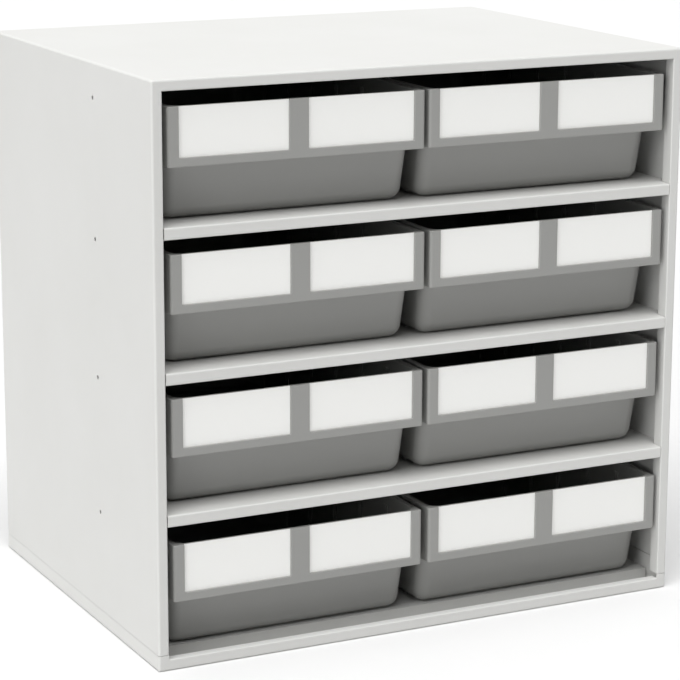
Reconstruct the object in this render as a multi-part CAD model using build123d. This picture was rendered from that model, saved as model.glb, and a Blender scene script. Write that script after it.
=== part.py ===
from build123d import *
import os

os.makedirs("parts", exist_ok=True)

# An open-fronted steel cabinet with four rows of two plastic shelf bins.
# Frame: X to the right, Y from the front to the back, Z up.
# The origin is the centre of the cabinet's footprint, at the surface that it stands on.

# Cabinet, outside
CABINET_WIDTH = 400.0
CABINET_DEPTH = 300.0
CABINET_HEIGHT = 395.0
SHEET = 0.8
BEND_INSIDE = 1.0

# Front frame: a flange faces the front on every side, and folds back into the cabinet
FRONT_FLANGE = 7.5
FRONT_RETURN = 9.5
FRAME_EDGE_RADIUS = 0.9

# Back: the shell folds in behind a flat panel
REAR_FLANGE = 7.5
PANEL_CLEARANCE = 0.2

# Base tray, with its upturned wall flush with the sides above it
TRAY_WALL = 11.0
TRAY_RETURN = 6.0
SEAM_GAP = 0.3
TONGUE_HEIGHT = 8.0
TONGUE_OVERLAP = 5.0
TONGUE_END_GAP = 6.0

# Shelves
ROWS = 4
FLOOR_HEIGHT = 8.0
SHELF_LIP = 8.0
LIP_RETURN = 7.0
LIP_END_GAP = 0.4
LIP_EDGE_RADIUS = 1.2
SHELF_NOTCH_CLEARANCE = 0.5
SHELF_CORNER_RADIUS = 1.5
BOTTOM_ROW_EXTRA = 3.5
FLOOR_SETBACK = 23.5
FLOOR_SIDE_CLEARANCE = 0.3

# Row of small fixing holes down each side
SIDE_HOLE_DIAMETER = 3.2
SIDE_HOLE_FROM_FRONT = 102.5
SIDE_HOLE_ABOVE_SHELF = 71.5

# Bins: clearances in the cabinet
SLIDE_CLEARANCE = 0.3
BIN_HEADROOM = 10.5
BIN_WALL_GAP = 5.0
BIN_MIDDLE_GAP = 3.0
BIN_FRONT_SETBACK = 2.5
BIN_REAR_GAP = 6.0

# Share of its free gap by which each bin has been pushed towards its side wall, top row first;
# a negative share goes towards the middle
LEFT_PUSH = (0.12, -0.25, 0.0, 0.0)
RIGHT_PUSH = (-0.33, 0.26, 0.16, 0.48)

# Bins: tub
BIN_WALL = 2.0
RIM_WIDTH = 2.0
RIM_HEIGHT = 3.0
SIDE_DRAFT = 2.5
BACK_DRAFT = 3.0
FRONT_CORNER_RADIUS = 9.0
BACK_CORNER_RADIUS = 11.0
BASE_EDGE_RADIUS = 8.0

# Bins: label band across the front, overhanging the tub as a finger pull
BAND_BOTTOM = 37.8
BAND_WALL = 3.6
BAND_SIDE_RETURN = 12.0
BAND_CORNER_RADIUS = 2.0
PULL_DEPTH_AT_BAND = 15.0
PULL_DEPTH_AT_BASE = 22.5

# Bins: slots inside for cross dividers, each between two ribs
DIVIDER_SLOTS = 6
DIVIDER_SLOT_WIDTH = 2.0
RIB_THICKNESS = 1.2
RIB_HEIGHT = 1.5
RIB_ROOT = 1.0
RIB_BELOW_RIM = 8.0
FIRST_DIVIDER = 45.0
LAST_DIVIDER = 245.0

# Label pockets: an open window with a groove behind its edges
LABELS_PER_BIN = 2
BAND_MARGIN = 8.0
CENTRE_STRIP = 14.0
BOTTOM_RAIL = 6.0
WINDOW_DEPTH = 1.4
GROOVE_WIDTH = 0.7
GROOVE_REACH = 1.5
CARD_THICKNESS = 0.5
CARD_CLEARANCE = 0.3
CARD_TOP_GAP = 0.2

# Worked out from the sizes above
HALF_WIDTH = CABINET_WIDTH / 2
FRONT = -CABINET_DEPTH / 2
BACK = CABINET_DEPTH / 2
INSIDE_HALF = HALF_WIDTH - SHEET
OPENING_HALF = HALF_WIDTH - FRONT_FLANGE
OPENING_TOP = CABINET_HEIGHT - FRONT_FLANGE
SHELL_BOTTOM = TRAY_WALL + SEAM_GAP
PANEL_FRONT = BACK - 2 * SHEET
RETURN_END = FRONT + FRONT_RETURN
ROW_OPENING = (OPENING_TOP - FLOOR_HEIGHT - BOTTOM_ROW_EXTRA - (ROWS - 1) * SHELF_LIP) / ROWS
ROW_PITCH = ROW_OPENING + SHELF_LIP
BIN_WIDTH = (2 * OPENING_HALF - 2 * BIN_WALL_GAP - BIN_MIDDLE_GAP) / 2
BIN_HEIGHT = ROW_OPENING - SLIDE_CLEARANCE - BIN_HEADROOM
BIN_LENGTH = CABINET_DEPTH - BIN_FRONT_SETBACK - BIN_REAR_GAP
TUB_TOP_HALF = BIN_WIDTH / 2 - RIM_WIDTH
TUB_BASE_HALF = TUB_TOP_HALF - SIDE_DRAFT
TUB_TOP_BACK = BIN_LENGTH - RIM_WIDTH
TUB_BASE_BACK = TUB_TOP_BACK - BACK_DRAFT
WINDOW_WIDTH = (BIN_WIDTH - 2 * BAND_MARGIN - (LABELS_PER_BIN - 1) * CENTRE_STRIP) / LABELS_PER_BIN
WINDOW_BOTTOM = BAND_BOTTOM + BOTTOM_RAIL
GROOVE_BACK = WINDOW_DEPTH + GROOVE_WIDTH


def block(x, y, z):
    """A box from three pairs of low and high values."""
    size = (x[1] - x[0], y[1] - y[0], z[1] - z[0])
    middle = ((x[0] + x[1]) / 2, (y[0] + y[1]) / 2, (z[0] + z[1]) / 2)
    return Pos(*middle) * Box(*size)


def both_sides(x, y, z):
    """A box on the right-hand side, and its mirror image on the left."""
    return block(x, y, z) + block((-x[1], -x[0]), y, z)


def edges_at(shape, y, z=None, x=None):
    """Edges whose middle lies at the given front-to-back place, height or distance from the middle."""
    found = []
    for edge in shape.edges():
        middle = edge.center()
        at_y = abs(middle.Y - y) < 0.01
        at_z = z is None or abs(middle.Z - z) < 0.01
        at_x = x is None or abs(abs(middle.X) - x) < 0.01
        if at_y and at_z and at_x:
            found.append(edge)
    return found


def shelf_top(row):
    """Height of the surface that the bins of a row stand on, counting rows from the top."""
    if row == ROWS - 1:
        return FLOOR_HEIGHT
    return OPENING_TOP - ROW_OPENING - row * ROW_PITCH


# Shell: a top and two side panels, each folded from sheet, that meet on mitres along the top's bends

def shell_block(inset, radius):
    solid = block(
        (-HALF_WIDTH + inset, HALF_WIDTH - inset),
        (FRONT + inset, BACK - inset),
        (SHELL_BOTTOM, CABINET_HEIGHT - inset),
    )
    bent = [edge for edge in solid.edges() if edge.center().Z > SHELL_BOTTOM + SHEET]
    return fillet(bent, radius)


def make_shell():
    """Top and sides in one piece, before they are parted along the mitres."""
    shell = shell_block(0, BEND_INSIDE + SHEET) - shell_block(SHEET, BEND_INSIDE)
    shell -= block(
        (-OPENING_HALF, OPENING_HALF), (FRONT, FRONT + SHEET), (SHELL_BOTTOM, OPENING_TOP)
    )
    rear_half = HALF_WIDTH - REAR_FLANGE
    rear_top = CABINET_HEIGHT - REAR_FLANGE
    shell -= block((-rear_half, rear_half), (BACK - SHEET, BACK), (SHELL_BOTTOM, rear_top))
    fold = OPENING_HALF + SHEET
    fold_top = OPENING_TOP + SHEET
    shell += both_sides((OPENING_HALF, fold), (FRONT, RETURN_END), (SHELL_BOTTOM, fold_top))
    shell += block((-fold, fold), (FRONT, RETURN_END), (OPENING_TOP, fold_top))
    rim = edges_at(shell, FRONT, x=OPENING_HALF) + edges_at(shell, FRONT, z=OPENING_TOP)
    shell = fillet(rim, FRAME_EDGE_RADIUS)
    for row in range(ROWS):
        height = OPENING_TOP - ROW_OPENING - row * ROW_PITCH + SIDE_HOLE_ABOVE_SHELF
        drill = Rot(0, 90, 0) * Cylinder(SIDE_HOLE_DIAMETER / 2, CABINET_WIDTH + 2 * SHEET)
        shell -= Pos(0, FRONT + SIDE_HOLE_FROM_FRONT, height) * drill
    return shell


def above_mitres():
    """The space over the two sloping mitre planes, which holds the top panel."""
    outline = Polyline(
        (0, CABINET_HEIGHT - HALF_WIDTH),
        (HALF_WIDTH + SHEET, CABINET_HEIGHT + SHEET),
        (-HALF_WIDTH - SHEET, CABINET_HEIGHT + SHEET),
        close=True,
    )
    return extrude(make_face(Plane.XZ * outline), amount=CABINET_DEPTH, both=True)


def make_panels():
    """The left side panel, the right side panel and the top panel."""
    shell = make_shell()
    space = above_mitres()
    left, right = (shell - space).solids().sort_by(Axis.X)
    return left, right, shell & space


# Base tray: bottom sheet, upturned walls, and the lower flange of the front frame

def tray_block(inset, bottom, radius):
    solid = block(
        (-HALF_WIDTH + inset, HALF_WIDTH - inset), (FRONT + inset, BACK - inset), (bottom, TRAY_WALL)
    )
    bent = [edge for edge in solid.edges() if edge.center().Z < TRAY_WALL - SHEET]
    return fillet(bent, radius)


def fold_corner(height):
    """What the bend along the front of the tray leaves off, up to the given height."""
    span = (-OPENING_HALF, OPENING_HALF)
    depth = (FRONT, FRONT + FRAME_EDGE_RADIUS)
    bend = Rot(0, 90, 0) * Cylinder(FRAME_EDGE_RADIUS, CABINET_WIDTH)
    bend = Pos(0, FRONT + FRAME_EDGE_RADIUS, height - FRAME_EDGE_RADIUS) * bend
    return block(span, depth, (height - FRAME_EDGE_RADIUS, height)) - bend


def make_base_tray():
    tray = tray_block(0, 0, BEND_INSIDE + SHEET) - tray_block(SHEET, SHEET, BEND_INSIDE)
    tray -= block((-OPENING_HALF, OPENING_HALF), (FRONT, FRONT + SHEET), (FLOOR_HEIGHT, TRAY_WALL))
    tray += block(
        (-OPENING_HALF, OPENING_HALF),
        (FRONT, FRONT + TRAY_RETURN),
        (FLOOR_HEIGHT - SHEET, FLOOR_HEIGHT),
    )
    tray -= fold_corner(FLOOR_HEIGHT)
    tray += both_sides(
        (INSIDE_HALF - SHEET, INSIDE_HALF),
        (FRONT + TONGUE_END_GAP, PANEL_FRONT - TONGUE_END_GAP),
        (TRAY_WALL - TONGUE_OVERLAP, TRAY_WALL + TONGUE_HEIGHT),
    )
    return tray


def make_back_panel():
    half = INSIDE_HALF - BEND_INSIDE - PANEL_CLEARANCE
    top = CABINET_HEIGHT - SHEET - BEND_INSIDE - PANEL_CLEARANCE
    bottom = SHEET + BEND_INSIDE + PANEL_CLEARANCE
    return block((-half, half), (PANEL_FRONT, PANEL_FRONT + SHEET), (bottom, top))


# Shelves: a plate with folded edges, and a lip across the front between the side flanges

def make_shelf(top):
    plate_front = RETURN_END + SHELF_NOTCH_CLEARANCE
    under = top - SHEET
    bottom = top - SHELF_LIP
    lip_half = OPENING_HALF - LIP_END_GAP
    shelf = block((-INSIDE_HALF, INSIDE_HALF), (plate_front, PANEL_FRONT), (under, top))
    shelf += block((-lip_half, lip_half), (FRONT, plate_front), (under, top))
    shelf += block((-lip_half, lip_half), (FRONT, FRONT + SHEET), (bottom, top))
    shelf += block((-lip_half, lip_half), (FRONT, FRONT + LIP_RETURN), (bottom, bottom + SHEET))
    shelf += both_sides((INSIDE_HALF - SHEET, INSIDE_HALF), (plate_front, PANEL_FRONT), (bottom, top))
    shelf += block((-INSIDE_HALF, INSIDE_HALF), (PANEL_FRONT - SHEET, PANEL_FRONT), (bottom, top))
    shelf = fillet(edges_at(shelf, FRONT, z=top), LIP_EDGE_RADIUS)
    shelf = fillet(edges_at(shelf, FRONT, z=bottom), FRAME_EDGE_RADIUS)
    return fillet(edges_at(shelf, PANEL_FRONT, x=INSIDE_HALF), SHELF_CORNER_RADIUS)


def make_floor():
    """The surface under the lowest row: an upturned tray that stands on the base, set back from the front."""
    half = INSIDE_HALF - SHEET - FLOOR_SIDE_CLEARANCE
    front = FRONT + FLOOR_SETBACK
    back = PANEL_FRONT - FLOOR_SIDE_CLEARANCE
    floor = block((-half, half), (front, back), (SHEET, FLOOR_HEIGHT))
    under = (SHEET, FLOOR_HEIGHT - SHEET)
    return floor - block((-half + SHEET, half - SHEET), (front + SHEET, back - SHEET), under)


# Bins, modelled with the front at Y 0 and the base at Z 0

def tub_half(height):
    return TUB_BASE_HALF + SIDE_DRAFT * height / BIN_HEIGHT


def tub_back(height):
    return TUB_BASE_BACK + BACK_DRAFT * height / BIN_HEIGHT


def tub_front(height):
    return PULL_DEPTH_AT_BASE + (PULL_DEPTH_AT_BAND - PULL_DEPTH_AT_BASE) * height / BAND_BOTTOM


def plan(half, front, back, height, inset):
    """A level section through the tub, with rounded corners, at the given height."""
    low = front + inset
    high = back - inset
    side = half - inset
    face = make_face(Polyline((-side, low), (side, low), (side, high), (-side, high), close=True))
    corners = face.vertices().group_by(Axis.Y)
    face = fillet(corners[0], FRONT_CORNER_RADIUS - inset)
    corners = face.vertices().group_by(Axis.Y)
    face = fillet(corners[-1], BACK_CORNER_RADIUS - inset)
    return Pos(0, 0, height) * face


def tub_stage(bottom, top, front_bottom, front_top, inset):
    """The part of the tub between two heights, drawn in by inset on every side."""
    low = plan(tub_half(bottom), front_bottom, tub_back(bottom), bottom, inset)
    high = plan(tub_half(top), front_top, tub_back(top), top, inset)
    return loft([low, high], ruled=True)


def tub_solid(base, step, top, front_above, inset):
    """A closed tub shape: the drafted part below the step, and the part behind the band above it."""
    lower = tub_stage(base, step, tub_front(base), tub_front(step), inset)
    lower = fillet(lower.edges().group_by(Axis.Z)[0], BASE_EDGE_RADIUS - inset)
    return lower + tub_stage(step, top, front_above, front_above, inset)


def make_ribs():
    """Pairs of ribs inside both long walls, with a divider slot between the two of each pair."""
    bottom = BIN_WALL
    top = BIN_HEIGHT - RIB_BELOW_RIM
    low = tub_half(bottom) - BIN_WALL
    high = tub_half(top) - BIN_WALL
    outline = Polyline(
        (low - RIB_HEIGHT, bottom),
        (low + RIB_ROOT, bottom),
        (high + RIB_ROOT, top),
        (high - RIB_HEIGHT, top),
        close=True,
    )
    rib = extrude(make_face(Plane.XZ * outline), amount=RIB_THICKNESS / 2, both=True)
    rib += mirror(rib, about=Plane.YZ)
    offset = (DIVIDER_SLOT_WIDTH + RIB_THICKNESS) / 2
    pitch = (LAST_DIVIDER - FIRST_DIVIDER) / (DIVIDER_SLOTS - 1)
    ribs = []
    for slot in range(DIVIDER_SLOTS):
        middle = FIRST_DIVIDER + slot * pitch
        ribs.append(Pos(0, middle - offset, 0) * rib)
        ribs.append(Pos(0, middle + offset, 0) * rib)
    return ribs


def label_centres():
    pitch = WINDOW_WIDTH + CENTRE_STRIP
    first = -(LABELS_PER_BIN - 1) * pitch / 2
    return [first + number * pitch for number in range(LABELS_PER_BIN)]


def make_bin():
    half = BIN_WIDTH / 2
    tub = tub_solid(0, BAND_BOTTOM, BIN_HEIGHT, 0, 0)
    band = block((-half, half), (0, BAND_SIDE_RETURN), (BAND_BOTTOM, BIN_HEIGHT))
    band = fillet(band.edges().filter_by(Axis.Z).group_by(Axis.Y)[0], BAND_CORNER_RADIUS)
    rim = extrude(plan(half, 0, BIN_LENGTH, BIN_HEIGHT - RIM_HEIGHT, 0), amount=RIM_HEIGHT)
    inside = tub_solid(
        BIN_WALL, BAND_BOTTOM + BIN_WALL, BIN_HEIGHT, BAND_WALL - BIN_WALL, BIN_WALL
    )
    body = tub + band + rim - inside
    for rib in make_ribs():
        body += rib
    for centre in label_centres():
        window = WINDOW_WIDTH / 2
        groove = window + GROOVE_REACH
        body -= block(
            (centre - window, centre + window), (0, GROOVE_BACK), (WINDOW_BOTTOM, BIN_HEIGHT)
        )
        body -= block(
            (centre - groove, centre + groove),
            (WINDOW_DEPTH, GROOVE_BACK),
            (WINDOW_BOTTOM - GROOVE_REACH, BIN_HEIGHT),
        )
    return body


def make_card(centre):
    """A label card, slid down into the grooves of its pocket."""
    half = WINDOW_WIDTH / 2 + GROOVE_REACH - CARD_CLEARANCE
    face = WINDOW_DEPTH + (GROOVE_WIDTH - CARD_THICKNESS) / 2
    bottom = WINDOW_BOTTOM - GROOVE_REACH
    top = BIN_HEIGHT - CARD_TOP_GAP
    return block((centre - half, centre + half), (face, face + CARD_THICKNESS), (bottom, top))


def bin_place(row, side):
    """Where a bin's own origin lies in the cabinet: side is -1 on the left and 1 on the right."""
    push = (LEFT_PUSH if side < 0 else RIGHT_PUSH)[row]
    gap = BIN_WALL_GAP if push > 0 else BIN_MIDDLE_GAP / 2
    x = side * (BIN_MIDDLE_GAP / 2 + BIN_WIDTH / 2 + push * gap)
    return Pos(x, FRONT + BIN_FRONT_SETBACK, shelf_top(row) + SLIDE_CLEARANCE)


def save(shape, name):
    export_step(shape, "parts/" + name + ".step")


for panel, name in zip(make_panels(), ("side_panel_left", "side_panel_right", "top_panel")):
    save(panel, name)
save(make_base_tray(), "base_tray")
save(make_back_panel(), "back_panel")
save(make_floor(), "floor_shelf")
for row in range(ROWS - 1):
    save(make_shelf(shelf_top(row)), "shelf_" + str(row + 1))

bin_body = make_bin()
for row in range(ROWS):
    for side, side_name in ((-1, "left"), (1, "right")):
        place = bin_place(row, side)
        name = "row" + str(row + 1) + "_" + side_name
        save(place * bin_body, "bin_" + name)
        for centre, letter in zip(label_centres(), "ab"):
            save(place * make_card(centre), "label_" + name + "_" + letter)
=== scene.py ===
import math

import bmesh
import bpy
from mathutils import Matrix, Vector


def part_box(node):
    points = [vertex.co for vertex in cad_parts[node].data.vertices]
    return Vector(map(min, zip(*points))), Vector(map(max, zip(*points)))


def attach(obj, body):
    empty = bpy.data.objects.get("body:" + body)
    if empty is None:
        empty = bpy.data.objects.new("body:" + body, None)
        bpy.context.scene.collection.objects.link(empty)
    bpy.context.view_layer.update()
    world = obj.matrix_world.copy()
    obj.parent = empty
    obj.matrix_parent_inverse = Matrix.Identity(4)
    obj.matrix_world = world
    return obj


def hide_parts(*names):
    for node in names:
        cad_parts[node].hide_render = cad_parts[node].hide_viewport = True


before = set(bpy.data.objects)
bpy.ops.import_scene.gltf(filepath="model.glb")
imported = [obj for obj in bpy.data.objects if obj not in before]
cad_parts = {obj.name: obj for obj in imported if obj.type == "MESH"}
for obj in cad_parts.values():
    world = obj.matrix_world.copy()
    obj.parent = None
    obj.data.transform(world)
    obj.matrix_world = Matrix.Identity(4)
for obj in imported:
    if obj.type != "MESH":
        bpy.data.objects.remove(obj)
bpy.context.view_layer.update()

# ---------------------------------------------------------------------------------------------
# Shell: two side panels and a top, each folded from 0.8 mm steel sheet and taken to be welded
# along the top's bends. The edges round the opening are folded inwards twice, and the frame's top
# corners are mitred. All of the steel is powder coated light grey.

MM = 0.001
COAT_GREY = "#D0D0CE"
COAT_SHADE = "#C9C9C6"
COAT_CLOUD_MM = 90.0
ORANGE_PEEL_MM = 1.6
PEEL_HEIGHT_MM = 0.012
COAT_GRIT_MM = 0.35
GRIT_HEIGHT_MM = 0.004
COAT_SMOOTHEST = 0.42
COAT_ROUGHEST = 0.50
NOISE_LOW = 0.3
NOISE_HIGH = 0.7
SMOOTH_ANGLE = math.radians(32)
WELD_DISTANCE = 0.002 * MM


def linear(colour):
    """A written sRGB colour, such as #D0D0CE, as the linear colour that a shader takes."""
    parts = [int(colour[place:place + 2], 16) / 255 for place in (1, 3, 5)]
    shades = [part / 12.92 if part <= 0.04045 else ((part + 0.055) / 1.055) ** 2.4 for part in parts]
    return [*shades, 1]


def add_node(tree, kind, settings=None, links=None):
    """Adds a node. settings sets its properties and its inputs' values; links joins its inputs."""
    node = tree.nodes.new(kind)
    for name, value in (settings or {}).items():
        if isinstance(name, str) and hasattr(node, name):
            setattr(node, name, value)
        else:
            node.inputs[name].default_value = value
    for name, output in (links or {}).items():
        tree.links.new(output, node.inputs[name])
    return node


def new_material(name):
    """An empty node material, with its output and the place on the object in metres."""
    material = bpy.data.materials.new(name)
    material.use_nodes = True
    tree = material.node_tree
    tree.nodes.clear()
    output = add_node(tree, "ShaderNodeOutputMaterial")
    place = add_node(tree, "ShaderNodeTexCoord").outputs["Object"]
    return material, tree, output, place


def per_metre(size_mm):
    """The Scale of a pattern whose features have a real size in millimetres."""
    return 1 / (size_mm * MM)


def powder_coat():
    """Polyester powder coat, sprayed on and baked. The melt leaves a shallow orange peel with a
    fine grit on top, so a lamp shows as a wide soft patch with a slightly restless edge. The grey
    clouds faintly over a hand's width. The grit is drawn coarser than a real one, which would be
    too fine to show."""
    material, tree, output, place = new_material("powder_coat_light_grey")
    peel = add_node(
        tree, "ShaderNodeTexNoise",
        {"Scale": per_metre(ORANGE_PEEL_MM), "Detail": 1.5, "Roughness": 0.45}, {"Vector": place},
    )
    grit = add_node(
        tree, "ShaderNodeTexNoise",
        {"Scale": per_metre(COAT_GRIT_MM), "Detail": 2.0, "Roughness": 0.6}, {"Vector": place},
    )
    cloud = add_node(
        tree, "ShaderNodeTexNoise",
        {"Scale": per_metre(COAT_CLOUD_MM), "Detail": 3.0, "Roughness": 0.55}, {"Vector": place},
    )
    colour = add_node(
        tree, "ShaderNodeMix",
        {"data_type": "RGBA", 6: linear(COAT_GREY), 7: linear(COAT_SHADE)},
        {0: cloud.outputs["Fac"]},
    )
    gloss = add_node(
        tree, "ShaderNodeMapRange",
        {
            "From Min": NOISE_LOW, "From Max": NOISE_HIGH,
            "To Min": COAT_SMOOTHEST, "To Max": COAT_ROUGHEST,
        },
        {"Value": grit.outputs["Fac"]},
    )
    low = add_node(
        tree, "ShaderNodeBump", {"Distance": PEEL_HEIGHT_MM * MM}, {"Height": peel.outputs["Fac"]}
    )
    bump = add_node(
        tree, "ShaderNodeBump", {"Distance": GRIT_HEIGHT_MM * MM},
        {"Height": grit.outputs["Fac"], "Normal": low.outputs["Normal"]},
    )
    shader = add_node(
        tree, "ShaderNodeBsdfPrincipled", {"IOR": 1.5},
        {"Base Color": colour.outputs[2], "Roughness": gloss.outputs[0], "Normal": bump.outputs[0]},
    )
    tree.links.new(shader.outputs[0], output.inputs["Surface"])
    return material


def new_piece(name, mesh, material):
    """An object for a mesh that is already in place, in one material."""
    mesh.materials.clear()
    mesh.materials.append(material)
    piece = bpy.data.objects.new(name, mesh)
    bpy.context.scene.collection.objects.link(piece)
    return piece


def soften(piece):
    """Smooth shading over bends and rounded edges, with flat faces kept flat."""
    piece.data.shade_smooth()
    piece.data.set_sharp_from_angle(angle=SMOOTH_ANGLE)
    normals = piece.modifiers.new("flat_faces", "WEIGHTED_NORMAL")
    normals.keep_sharp = True


def dress(node, name, material, body):
    """A copy of a CAD node's mesh with its triangles joined up, so that bends shade smoothly."""
    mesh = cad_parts[node].data.copy()
    shape = bmesh.new()
    shape.from_mesh(mesh)
    bmesh.ops.remove_doubles(shape, verts=shape.verts, dist=WELD_DISTANCE)
    shape.to_mesh(mesh)
    shape.free()
    piece = new_piece(name, mesh, material)
    soften(piece)
    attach(piece, body)
    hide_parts(node)


coat = powder_coat()
for panel in ("side_panel_left", "side_panel_right", "top_panel"):
    dress(panel, panel + "_folded", coat, "cabinet")

# ---------------------------------------------------------------------------------------------
# Base tray: the bottom steel sheet, with upturned walls that stand flush under the side panels,
# and a front wall whose top is folded back as the opening's lower edge. Its inner tongues are
# taken to be spot-welded to the side panels, and only a hairline seam shows from outside.

dress("base_tray", "base_tray_folded", coat, "cabinet")

# ---------------------------------------------------------------------------------------------
# Back panel, floor and shelves: steel sheet, flat at the back, an upturned tray for the floor, and
# three shelves that are notched round the frame and taken to be spot-welded between the sides. A
# shelf's front lip is folded down and back under, so that no raw edge faces a hand.

SHELVES = ("shelf_1", "shelf_2", "shelf_3")

dress("back_panel", "back_panel_sheet", coat, "cabinet")
dress("floor_shelf", "floor_sheet", coat, "cabinet")
for shelf in SHELVES:
    dress(shelf, shelf + "_folded", coat, "cabinet")

# ---------------------------------------------------------------------------------------------
# Bins: open trays injection-moulded in one piece from grey polypropylene. The tub leans inwards
# towards its base so that it leaves the mould, and a thick band steps forward across the front
# as finger pull and label holder. Each bin stands loose on its shelf, held by its weight.

ROWS = 4
SIDES = ("left", "right")
BIN_LOW, BIN_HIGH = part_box("bin_row1_left")
BIN_WIDTH, BIN_LENGTH, BIN_HEIGHT = (BIN_HIGH - BIN_LOW) / MM
HALF = BIN_WIDTH / 2

TUB_WALL = 2.0
RIM_OVERHANG = 2.0
RIM_HEIGHT = 3.0
SIDE_DRAFT = 2.5
BACK_DRAFT = 3.0
FRONT_RADIUS = 9.0
BACK_RADIUS = 11.0
BASE_RADIUS = 8.0
BAND_BOTTOM = 37.8
BAND_WALL = 3.6
BAND_RETURN = 12.0
BAND_RADIUS = 2.0
PULL_AT_BAND = 15.0
PULL_AT_BASE = 22.5
BAND_EDGE_ROUND = 0.7
RIM_ROUND = 0.6
INNER_ROUND = 0.5
CORNER_STEPS = 12
NOSE_STEPS = 6
SHOULDER_STEPS = 4
BASE_STEPS = 8
SHOULDER_RUN = 1.6
LEDGE_START = BAND_RETURN - 2 * BAND_EDGE_ROUND
QUARTER_TURN = math.radians(90)


def rounded_outline(corners):
    """Points along an outline of right-angled corners, each given as x, y, radius and steps."""
    points = []
    for number, (x, y, radius, steps) in enumerate(corners):
        corner = Vector((x, y))
        before = (Vector(corners[number - 1][:2]) - corner).normalized()
        after = (Vector(corners[(number + 1) % len(corners)][:2]) - corner).normalized()
        middle = corner + (before + after) * radius
        for step in range(steps + 1):
            turn = QUARTER_TURN * step / max(steps, 1)
            point = middle - (after * math.cos(turn) + before * math.sin(turn)) * radius
            points.append((point.x, point.y))
    return points


def rounding(radius, steps):
    """(rise, inset) pairs round a quarter circle, from the flat face to the wall."""
    turns = [QUARTER_TURN * step / steps for step in range(steps + 1)]
    return [(radius * (1 - math.cos(turn)), radius * (1 - math.sin(turn))) for turn in turns]


def level(height, outline):
    return [(x, y, height) for x, y in outline]


def half_width(height):
    return HALF - RIM_OVERHANG - SIDE_DRAFT * (1 - height / BIN_HEIGHT)


def back_place(height):
    return BIN_LENGTH - RIM_OVERHANG - BACK_DRAFT * (1 - height / BIN_HEIGHT)


def front_place(height):
    return PULL_AT_BASE + (PULL_AT_BAND - PULL_AT_BASE) * height / BAND_BOTTOM


def tub_ring(height, front, inset):
    """A level outline of the tub with its four rounded corners, counter-clockwise from the left."""
    half = half_width(height) - inset
    back = back_place(height) - inset
    low = (front + inset, FRONT_RADIUS - inset, CORNER_STEPS)
    high = (back, BACK_RADIUS - inset, CORNER_STEPS)
    corners = [(-half, *low), (half, *low), (half, *high), (-half, *high)]
    return level(height, rounded_outline(corners))


def band_ring(height, inset):
    """The outline where the band wraps round the tub's front and ends in two square shoulders."""
    tub = half_width(height)
    half = HALF - inset
    inner = (BAND_RETURN - inset, 0, 0)
    shoulder = (BAND_RETURN - inset, BAND_EDGE_ROUND, SHOULDER_STEPS)
    nose = (inset, BAND_RADIUS - inset, NOSE_STEPS)
    back = (back_place(height), BACK_RADIUS, CORNER_STEPS)
    return level(height, rounded_outline([
        (-tub, *inner), (-half, *shoulder), (-half, *nose),
        (half, *nose), (half, *shoulder), (tub, *inner),
        (tub, *back), (-tub, *back),
    ]))


def ledge_ring(height):
    """The outline from which the band's underside spreads out, square at its front corners."""
    tub = half_width(height)
    front = (LEDGE_START, 0, CORNER_STEPS)
    back = (back_place(height), BACK_RADIUS, CORNER_STEPS)
    corners = [(-tub, *front), (tub, *front), (tub, *back), (-tub, *back)]
    return level(height, rounded_outline(corners))


def rim_ring(height, inset):
    """The outline of the rim, which runs straight back from the sides of the band."""
    half = HALF - inset
    nose = (inset, BAND_RADIUS - inset, NOSE_STEPS)
    back = (BIN_LENGTH - inset, BACK_RADIUS - inset, CORNER_STEPS)
    start = BAND_RETURN - BAND_EDGE_ROUND
    gaps = SHOULDER_STEPS + 1
    runs = [(start + SHOULDER_RUN * step / gaps, 0, 0) for step in range(gaps + 1)]
    left = [(-half, *run) for run in reversed(runs)]
    right = [(half, *run) for run in runs]
    corners = left + [(-half, *nose), (half, *nose)] + right + [(half, *back), (-half, *back)]
    return level(height, rounded_outline(corners))


def tub_rings():
    """Every outline of the tub, from its base up the outside, over the rim and down the inside."""
    rings = []
    for rise, inset in rounding(BASE_RADIUS, BASE_STEPS):
        rings.append(tub_ring(rise, front_place(rise), inset))
    rings.append(tub_ring(BAND_BOTTOM, PULL_AT_BAND, 0))
    rings.append(ledge_ring(BAND_BOTTOM))
    for rise, inset in rounding(BAND_EDGE_ROUND, SHOULDER_STEPS):
        rings.append(band_ring(BAND_BOTTOM + rise, inset))
    rings.append(band_ring(BIN_HEIGHT - RIM_HEIGHT, 0))
    rings.append(rim_ring(BIN_HEIGHT - RIM_HEIGHT, 0))
    for rise, inset in reversed(rounding(RIM_ROUND, SHOULDER_STEPS)):
        rings.append(rim_ring(BIN_HEIGHT - rise, inset))
    inside = BAND_WALL - TUB_WALL
    for rise, inset in rounding(INNER_ROUND, SHOULDER_STEPS):
        rings.append(tub_ring(BIN_HEIGHT - rise, inside, TUB_WALL - inset))
    step = BAND_BOTTOM + TUB_WALL
    rings.append(tub_ring(step, inside, TUB_WALL))
    rings.append(tub_ring(step, front_place(step), TUB_WALL))
    for rise, inset in reversed(rounding(BASE_RADIUS - TUB_WALL, BASE_STEPS)):
        rings.append(tub_ring(TUB_WALL + rise, front_place(TUB_WALL + rise), TUB_WALL + inset))
    return rings


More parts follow.
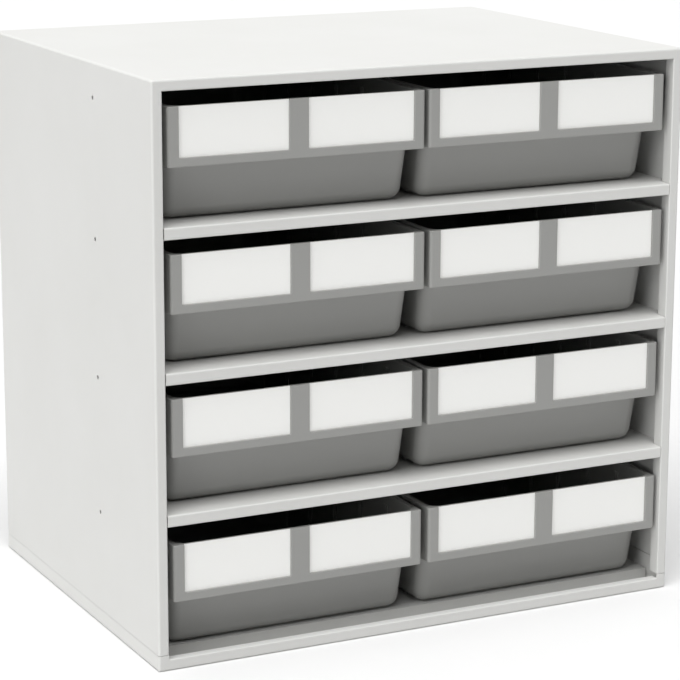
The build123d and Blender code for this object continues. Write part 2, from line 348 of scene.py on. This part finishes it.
def loft(rings):
    """A closed mesh through outlines that all have the same number of points."""
    shape = bmesh.new()
    loops = [[shape.verts.new([part * MM for part in point]) for point in ring] for ring in rings]
    count = len(loops[0])
    for low, high in zip(loops, loops[1:]):
        for number in range(count):
            after = (number + 1) % count
            shape.faces.new((low[number], low[after], high[after], high[number]))
    shape.faces.new(reversed(loops[0]))
    shape.faces.new(loops[-1])
    bmesh.ops.remove_doubles(shape, verts=shape.verts, dist=WELD_DISTANCE)
    bmesh.ops.recalc_face_normals(shape, faces=shape.faces)
    mesh = bpy.data.meshes.new("lofted")
    shape.to_mesh(mesh)
    shape.free()
    return mesh


# Label pockets: two windows in the band, open at the top, with a groove behind their edges that
# a card slides down into. The mould's steel for a window is the shape that is cut away here.

LABELS = 2
BAND_MARGIN = 8.0
CENTRE_STRIP = 14.0
BOTTOM_RAIL = 6.0
WINDOW_DEPTH = 1.4
GROOVE_WIDTH = 0.7
GROOVE_REACH = 1.5
WINDOW_ROUND = 0.45
WINDOW_CORNER = 0.9
GROOVE_CORNER = 0.2
CUT_BEYOND = 1.0
WINDOW_WIDTH = (BIN_WIDTH - 2 * BAND_MARGIN - (LABELS - 1) * CENTRE_STRIP) / LABELS


def window_ring(centre, depth, grow, corner):
    """The outline of a window at a depth into the band, square at the top, where it is open."""
    half = WINDOW_WIDTH / 2 + grow
    low = (BAND_BOTTOM + BOTTOM_RAIL - grow, corner, SHOULDER_STEPS)
    high = (BIN_HEIGHT + CUT_BEYOND, 0, 0)
    outline = rounded_outline([(-half, *low), (half, *low), (half, *high), (-half, *high)])
    return [(centre + x, depth, z) for x, z in outline]


def window_cut(centre):
    """The closed shape of a window and its groove, a little rounded out at the band's face."""
    rings = [window_ring(centre, -CUT_BEYOND, WINDOW_ROUND, WINDOW_CORNER + WINDOW_ROUND)]
    for rise, inset in rounding(WINDOW_ROUND, SHOULDER_STEPS):
        rings.append(window_ring(centre, rise, inset, WINDOW_CORNER + inset))
    rings.append(window_ring(centre, WINDOW_DEPTH, 0, WINDOW_CORNER))
    rings.append(window_ring(centre, WINDOW_DEPTH, GROOVE_REACH, GROOVE_CORNER))
    rings.append(window_ring(centre, WINDOW_DEPTH + GROOVE_WIDTH, GROOVE_REACH, GROOVE_CORNER))
    return loft(rings)


# Divider ribs: pairs of ribs inside both long walls, each pair a slot for a loose cross wall.
# They lean with the wall and have softly rounded noses. One pair of ribs is swept up each wall
# and repeated down the length of the bin.

RIB_PAIRS = 6
SLOT_WIDTH = 2.0
RIB_THICKNESS = 1.2
RIB_REACH = 1.5
RIB_ROOT = 1.0
RIB_NOSE = 0.4
RIB_BELOW_RIM = 8.0
RIB_IN_FLOOR = 0.5
FIRST_SLOT = 45.0
LAST_SLOT = 245.0


def rib_tree(name, inputs):
    """A node tree with named inputs that repeats a pair of leaning ribs along both long walls."""
    tree = bpy.data.node_groups.new(name, "GeometryNodeTree")
    for label, (kind, _) in inputs.items():
        tree.interface.new_socket(label, in_out="INPUT", socket_type=kind)
    tree.interface.new_socket("Geometry", in_out="OUTPUT", socket_type="NodeSocketGeometry")
    given = add_node(tree, "NodeGroupInput").outputs
    nose = add_node(
        tree, "GeometryNodeCurvePrimitiveQuadrilateral", {},
        {"Width": given["Reach"], "Height": given["Thickness"]},
    )
    section = add_node(
        tree, "GeometryNodeFilletCurve", {"mode": "POLY", "Count": SHOULDER_STEPS},
        {"Curve": nose.outputs[0], "Radius": given["Nose Radius"]},
    )
    apart = add_node(
        tree, "ShaderNodeMath", {"operation": "ADD"}, {0: given["Slot Width"], 1: given["Thickness"]}
    )
    half_apart = add_node(
        tree, "ShaderNodeMath", {"operation": "MULTIPLY", 1: 0.5}, {0: apart.outputs[0]}
    )
    ribs = []
    for side in (-1, 1):
        for turn in (-1, 1):
            ends = []
            for foot, height in (("Foot Across", "Foot Height"), ("Top Across", "Top Height")):
                across = add_node(
                    tree, "ShaderNodeMath", {"operation": "MULTIPLY", 1: side}, {0: given[foot]}
                )
                along = add_node(
                    tree, "ShaderNodeMath",
                    {"operation": "MULTIPLY", 1: turn}, {0: half_apart.outputs[0]},
                )
                ends.append(add_node(
                    tree, "ShaderNodeCombineXYZ", {},
                    {"X": across.outputs[0], "Y": along.outputs[0], "Z": given[height]},
                ))
            line = add_node(
                tree, "GeometryNodeCurvePrimitiveLine", {},
                {"Start": ends[0].outputs[0], "End": ends[1].outputs[0]},
            )
            swept = add_node(
                tree, "GeometryNodeCurveToMesh", {"Fill Caps": True},
                {"Curve": line.outputs[0], "Profile Curve": section.outputs[0]},
            )
            ribs.append(swept.outputs[0])
    pair = add_node(tree, "GeometryNodeJoinGeometry")
    for rib in ribs:
        tree.links.new(rib, pair.inputs[0])
    first = add_node(tree, "ShaderNodeCombineXYZ", {}, {"Y": given["First Slot"]})
    last = add_node(tree, "ShaderNodeCombineXYZ", {}, {"Y": given["Last Slot"]})
    slots = add_node(
        tree, "GeometryNodeMeshLine", {"mode": "END_POINTS"},
        {"Count": given["Slots"], "Start Location": first.outputs[0], "Offset": last.outputs[0]},
    )
    spread = add_node(
        tree, "GeometryNodeInstanceOnPoints", {},
        {"Points": slots.outputs[0], "Instance": pair.outputs[0]},
    )
    real = add_node(tree, "GeometryNodeRealizeInstances", {}, {"Geometry": spread.outputs[0]})
    finish = add_node(
        tree, "GeometryNodeSetMaterial", {},
        {"Geometry": real.outputs[0], "Material": given["Material"]},
    )
    result = add_node(tree, "NodeGroupOutput")
    tree.links.new(finish.outputs[0], result.inputs[0])
    return tree


def grown(name, inputs, make_tree):
    """Runs a node tree on an empty object, and returns the plain mesh that it makes."""
    tree = make_tree(name, inputs)
    carrier = bpy.data.objects.new(name, bpy.data.meshes.new(name))
    bpy.context.scene.collection.objects.link(carrier)
    modifier = carrier.modifiers.new(name, "NODES")
    modifier.node_group = tree
    items = tree.interface.items_tree
    sockets = {item.name: item.identifier for item in items if item.in_out == "INPUT"}
    for label, (_, value) in inputs.items():
        modifier[sockets[label]] = value
    mesh = solid_mesh(carrier)
    bpy.data.objects.remove(carrier)
    return mesh


def solid_mesh(piece):
    """The plain mesh that an object's modifiers give."""
    bpy.context.view_layer.update()
    graph = bpy.context.evaluated_depsgraph_get()
    return bpy.data.meshes.new_from_object(piece.evaluated_get(graph), depsgraph=graph)


def combine(piece, operation, mesh):
    """Adds a closed mesh to a piece, or takes it away."""
    tool = bpy.data.objects.new("tool", mesh)
    bpy.context.scene.collection.objects.link(tool)
    modifier = piece.modifiers.new(operation, "BOOLEAN")
    modifier.operation = operation
    modifier.solver = "MANIFOLD"
    modifier.object = tool
    mesh = solid_mesh(piece)
    piece.modifiers.clear()
    piece.data = mesh
    bpy.data.objects.remove(tool)


PLASTIC_GREY = "#8F8F8D"
PLASTIC_PALE = "#949491"
FLOW_MM = 60.0
FLOW_STRETCH = (1.0, 1.0, 0.35)
SPARK_GRAIN_MM = 0.45
GRAIN_HEIGHT_MM = 0.010
PLASTIC_SMOOTHEST = 0.40
PLASTIC_ROUGHEST = 0.48


def moulded_plastic():
    """Polypropylene, injection-moulded against spark-eroded steel. The surface has an even grain,
    drawn coarser than a real one so that it shows, and a waxy half-gloss, with faint paler
    streaks where the melt flowed."""
    material, tree, output, place = new_material("polypropylene_mid_grey")
    grain = add_node(
        tree, "ShaderNodeTexNoise",
        {"Scale": per_metre(SPARK_GRAIN_MM), "Detail": 2.0, "Roughness": 0.55}, {"Vector": place},
    )
    stretch = add_node(tree, "ShaderNodeMapping", {"Scale": FLOW_STRETCH}, {"Vector": place})
    flow = add_node(
        tree, "ShaderNodeTexNoise",
        {"Scale": per_metre(FLOW_MM), "Detail": 3.0, "Roughness": 0.5},
        {"Vector": stretch.outputs[0]},
    )
    colour = add_node(
        tree, "ShaderNodeMix",
        {"data_type": "RGBA", 6: linear(PLASTIC_GREY), 7: linear(PLASTIC_PALE)},
        {0: flow.outputs["Fac"]},
    )
    gloss = add_node(
        tree, "ShaderNodeMapRange",
        {
            "From Min": NOISE_LOW, "From Max": NOISE_HIGH,
            "To Min": PLASTIC_SMOOTHEST, "To Max": PLASTIC_ROUGHEST,
        },
        {"Value": flow.outputs["Fac"]},
    )
    bump = add_node(
        tree, "ShaderNodeBump", {"Distance": GRAIN_HEIGHT_MM * MM}, {"Height": grain.outputs["Fac"]}
    )
    shader = add_node(
        tree, "ShaderNodeBsdfPrincipled", {"IOR": 1.49},
        {"Base Color": colour.outputs[2], "Roughness": gloss.outputs[0], "Normal": bump.outputs[0]},
    )
    tree.links.new(shader.outputs[0], output.inputs["Surface"])
    return material


def label_centres():
    pitch = WINDOW_WIDTH + CENTRE_STRIP
    return [(number - (LABELS - 1) / 2) * pitch for number in range(LABELS)]


plastic = moulded_plastic()
rib_foot = TUB_WALL - RIB_IN_FLOOR
rib_top = BIN_HEIGHT - RIB_BELOW_RIM
rib_inset = TUB_WALL + (RIB_REACH - RIB_ROOT) / 2
rib_sizes = {
    "Reach": ("NodeSocketFloat", (RIB_ROOT + RIB_REACH) * MM),
    "Thickness": ("NodeSocketFloat", RIB_THICKNESS * MM),
    "Nose Radius": ("NodeSocketFloat", RIB_NOSE * MM),
    "Slot Width": ("NodeSocketFloat", SLOT_WIDTH * MM),
    "Slots": ("NodeSocketInt", RIB_PAIRS),
    "First Slot": ("NodeSocketFloat", FIRST_SLOT * MM),
    "Last Slot": ("NodeSocketFloat", LAST_SLOT * MM),
    "Foot Across": ("NodeSocketFloat", (half_width(rib_foot) - rib_inset) * MM),
    "Foot Height": ("NodeSocketFloat", rib_foot * MM),
    "Top Across": ("NodeSocketFloat", (half_width(rib_top) - rib_inset) * MM),
    "Top Height": ("NodeSocketFloat", rib_top * MM),
    "Material": ("NodeSocketMaterial", plastic),
}
pattern = new_piece("bin_pattern", loft(tub_rings()), plastic)
combine(pattern, "UNION", grown("divider_ribs", rib_sizes, rib_tree))
for centre in label_centres():
    combine(pattern, "DIFFERENCE", window_cut(centre))

for row in range(1, ROWS + 1):
    for side in SIDES:
        node = f"bin_row{row}_{side}"
        low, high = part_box(node)
        mesh = pattern.data.copy()
        for vertex in mesh.vertices:
            vertex.co += Vector(((low.x + high.x) / 2, low.y, low.z))
        piece = new_piece(node + "_moulding", mesh, plastic)
        soften(piece)
        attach(piece, node)
        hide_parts(node)
bpy.data.objects.remove(pattern)

# ---------------------------------------------------------------------------------------------
# Label cards: blank pieces of white card, cut to size on a guillotine. One is slid down into each
# of the two pockets on a bin's front, whose grooves hold its edges.

CARD_WHITE = "#F1F1EF"
CARD_FIBRE = "#EBEBE8"
FIBRE_MM = 0.5
FIBRE_STRETCH = (0.4, 1.0, 1.0)
FIBRE_HEIGHT_MM = 0.006
CARD_CORNER = 0.3
CARD_CORNER_STEPS = 2
CARD_EDGE = 0.06


def paper_card():
    """Uncoated bleached card. Its fibres, drawn thicker than real ones so that they show, give a
    matt, faintly mottled white with no shine."""
    material, tree, output, place = new_material("label_card_white")
    stretch = add_node(tree, "ShaderNodeMapping", {"Scale": FIBRE_STRETCH}, {"Vector": place})
    fibre = add_node(
        tree, "ShaderNodeTexNoise",
        {"Scale": per_metre(FIBRE_MM), "Detail": 4.0, "Roughness": 0.7},
        {"Vector": stretch.outputs[0]},
    )
    colour = add_node(
        tree, "ShaderNodeMix",
        {"data_type": "RGBA", 6: linear(CARD_WHITE), 7: linear(CARD_FIBRE)},
        {0: fibre.outputs["Fac"]},
    )
    bump = add_node(
        tree, "ShaderNodeBump", {"Distance": FIBRE_HEIGHT_MM * MM}, {"Height": fibre.outputs["Fac"]}
    )
    shader = add_node(
        tree, "ShaderNodeBsdfPrincipled",
        {"IOR": 1.45, "Roughness": 0.85, "Specular IOR Level": 0.3},
        {"Base Color": colour.outputs[2], "Normal": bump.outputs[0]},
    )
    tree.links.new(shader.outputs[0], output.inputs["Surface"])
    return material


def card_mesh(low, high):
    """A thin card that fills a box, with slightly crushed edges."""
    middle = (low + high) / 2 / MM
    width, thickness, height = (high - low) / MM / 2
    front = [(-thickness, CARD_EDGE), (CARD_EDGE - thickness, 0)]
    behind = [(thickness - CARD_EDGE, 0), (thickness, CARD_EDGE)]
    rings = []
    for depth, inset in front + behind:
        x, z = width - inset, height - inset
        corners = [(-x, -z), (x, -z), (x, z), (-x, z)]
        outline = rounded_outline([(*corner, CARD_CORNER, CARD_CORNER_STEPS) for corner in corners])
        y = middle.y + depth
        rings.append([(middle.x + across, y, middle.z + up) for across, up in outline])
    return loft(rings)


card = paper_card()
for row in range(1, ROWS + 1):
    for side in SIDES:
        for letter in "ab":
            node = f"label_row{row}_{side}_{letter}"
            piece = new_piece(node + "_card", card_mesh(*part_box(node)), card)
            soften(piece)
            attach(piece, f"bin_row{row}_{side}")
            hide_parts(node)

# ---------------------------------------------------------------------------------------------
# Studio: a plain pale floor, a wide soft lamp straight overhead that leaves the undersides and
# gaps dark, a high key lamp from the front left, a low fill from the left, and the camera at the
# photograph's viewing angle.

FLOOR_WHITE = "#E2E2E2"
FLOOR_SIZE = 40.0
SKY = 0.07
LAMPS = (
    ("overhead", 1.6, 70.0, (0.0, 0.0, 1.0)),
    ("key", 2.2, 40.0, (-0.211, -0.366, 0.906)),
    ("left_fill", 1.5, 50.0, (-0.933, -0.250, 0.259)),
)

CAMERA_PLACE = (-0.8123, -1.6452, 0.6117)
CAMERA_TURN = -0.462
CAMERA_DIP = 0.234
CAMERA_ROLL = -0.003
FOCAL_PIXELS = 2573.5
IMAGE_PIXELS = 680
SENSOR_MM = 36.0
CLIP_NEAR = 0.05
CLIP_FAR = 100.0


def studio_white(name, colour):
    material, tree, output, _ = new_material(name)
    shader = add_node(tree, "ShaderNodeBsdfDiffuse", {"Color": linear(colour)})
    tree.links.new(shader.outputs[0], output.inputs["Surface"])
    return material


floor_mesh = bpy.data.meshes.new("floor")
reach = FLOOR_SIZE / 2
floor_corners = [(x * reach, y * reach, 0) for x, y in ((-1, -1), (1, -1), (1, 1), (-1, 1))]
floor_mesh.from_pydata(floor_corners, [], [(0, 1, 2, 3)])
floor = new_piece("floor", floor_mesh, studio_white("studio_floor", FLOOR_WHITE))

world = bpy.data.worlds.new("studio")
bpy.context.scene.world = world
world.use_nodes = True
tree = world.node_tree
tree.nodes.clear()
path = add_node(tree, "ShaderNodeLightPath").outputs
seen = path["Is Camera Ray"]
for kind in ("Is Glossy Ray", "Is Transmission Ray"):
    either = add_node(tree, "ShaderNodeMath", {"operation": "MAXIMUM"}, {0: seen, 1: path[kind]})
    seen = either.outputs[0]
strength = add_node(tree, "ShaderNodeMapRange", {"To Min": SKY, "To Max": 1.0}, {"Value": seen})
sky = add_node(
    tree, "ShaderNodeBackground", {"Color": (1, 1, 1, 1)}, {"Strength": strength.outputs[0]}
)
result = add_node(tree, "ShaderNodeOutputWorld")
tree.links.new(sky.outputs[0], result.inputs["Surface"])

for name, power, spread, toward in LAMPS:
    sun = bpy.data.lights.new(name, "SUN")
    sun.energy = power
    sun.angle = math.radians(spread)
    lamp = bpy.data.objects.new(name, sun)
    lamp.rotation_euler = Vector(toward).to_track_quat("Z", "Y").to_euler()
    bpy.context.scene.collection.objects.link(lamp)

camera_data = bpy.data.cameras.new("camera")
camera_data.sensor_width = SENSOR_MM
camera_data.lens = FOCAL_PIXELS / IMAGE_PIXELS * SENSOR_MM
camera_data.clip_start = CLIP_NEAR
camera_data.clip_end = CLIP_FAR
camera = bpy.data.objects.new("camera", camera_data)
camera.location = CAMERA_PLACE
camera.rotation_euler = (QUARTER_TURN - CAMERA_DIP, CAMERA_ROLL, CAMERA_TURN)
bpy.context.scene.collection.objects.link(camera)
bpy.context.scene.camera = camera
bpy.context.scene.view_settings.view_transform = "Standard"
